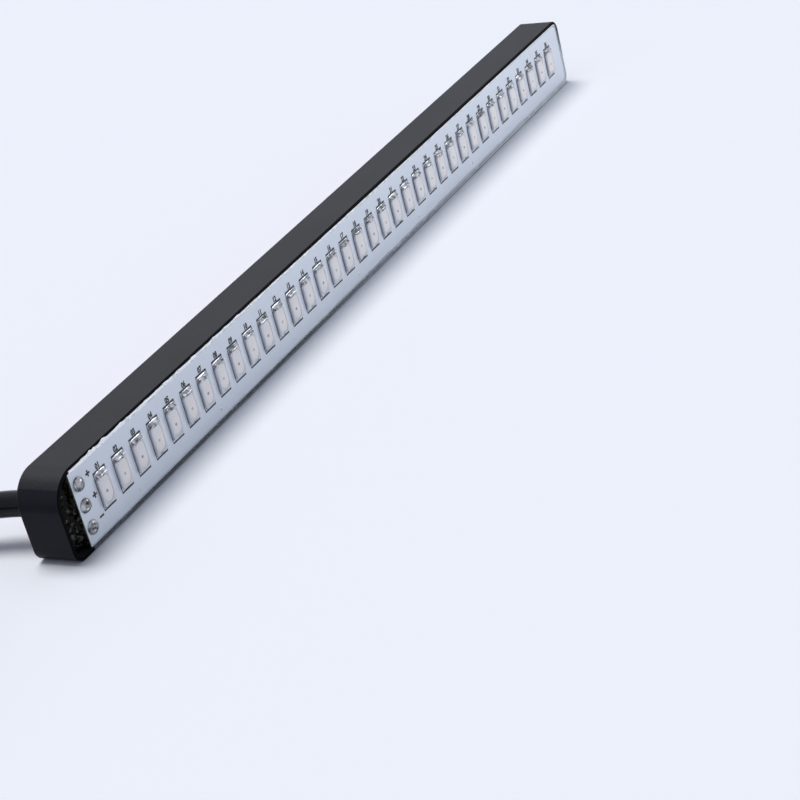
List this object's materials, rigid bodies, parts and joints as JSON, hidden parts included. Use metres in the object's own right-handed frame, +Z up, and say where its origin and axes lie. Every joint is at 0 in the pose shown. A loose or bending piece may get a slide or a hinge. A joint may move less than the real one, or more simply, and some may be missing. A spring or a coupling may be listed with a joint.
{
  "type": "daytime running light",
  "caption": "Slim LED strip daytime running light for a car: black moulded tray, white circuit board with a row of amber and white LEDs, lead out of the back near one end, tape on the back.",
  "frame": {"origin": "centre of the footprint of the lamp without its lead, on the surface that its long side stands on", "axes": "+X along the lamp away from the lead end, +Y out of the back, the LEDs look to -Y, +Z up"},
  "size_m": [0.2466, 0.0346, 0.0126],
  "materials": {
    "tray_plastic": "fine grain",
    "board_mask": "satin white mask",
    "amber_led_resin": "satin",
    "white_led_resin": "satin",
    "solder": "bright",
    "chip_black": "matte",
    "clear_sealant": "clear gloss",
    "black_glue": "gloss",
    "yellow_insulation": "satin",
    "white_insulation": "satin",
    "black_insulation": "satin",
    "foam_tape": "matte foam",
    "tape_film": "glossy film",
    "cable_jacket": "satin",
    "tie_plastic": "satin"
  },
  "bodies": {
    "root": {"amber_core": "yellow_insulation", "amber_lead": "yellow_insulation", "amber_led_01": "amber_led_resin", "amber_led_02": "amber_led_resin", "amber_led_03": "amber_led_resin", "amber_led_04": "amber_led_resin", "amber_led_05": "amber_led_resin", "amber_led_06": "amber_led_resin", "amber_led_07": "amber_led_resin", "amber_led_08": "amber_led_resin", "amber_led_09": "amber_led_resin", "amber_led_10": "amber_led_resin", "amber_led_11": "amber_led_resin", "amber_led_12": "amber_led_resin", "amber_led_13": "amber_led_resin", "amber_led_14": "amber_led_resin", "amber_led_15": "amber_led_resin", "amber_led_16": "amber_led_resin", "amber_led_17": "amber_led_resin", "amber_led_18": "amber_led_resin", "blocking_diodes": "chip_black", "cable": "cable_jacket", "cable_hank": "cable_jacket", "cable_seal": "black_glue", "circuit_board": "board_mask", "edge_sealant": "clear_sealant", "end_glue": "black_glue", "ground_core": "black_insulation", "ground_lead": "black_insulation", "hank_ties": "tie_plastic", "housing": "tray_plastic", "led_solder": "solder", "mounting_tape": "foam_tape", "pad_solder": "solder", "series_resistors": "chip_black", "tape_liner": "tape_film", "white_core": "white_insulation", "white_lead": "white_insulation", "white_led_01": "white_led_resin", "white_led_02": "white_led_resin", "white_led_03": "white_led_resin", "white_led_04": "white_led_resin", "white_led_05": "white_led_resin", "white_led_06": "white_led_resin", "white_led_07": "white_led_resin", "white_led_08": "white_led_resin", "white_led_09": "white_led_resin", "white_led_10": "white_led_resin", "white_led_11": "white_led_resin", "white_led_12": "white_led_resin", "white_led_13": "white_led_resin", "white_led_14": "white_led_resin", "white_led_15": "white_led_resin", "white_led_16": "white_led_resin", "white_led_17": "white_led_resin", "white_led_18": "white_led_resin"}
  },
  "joints": []
}
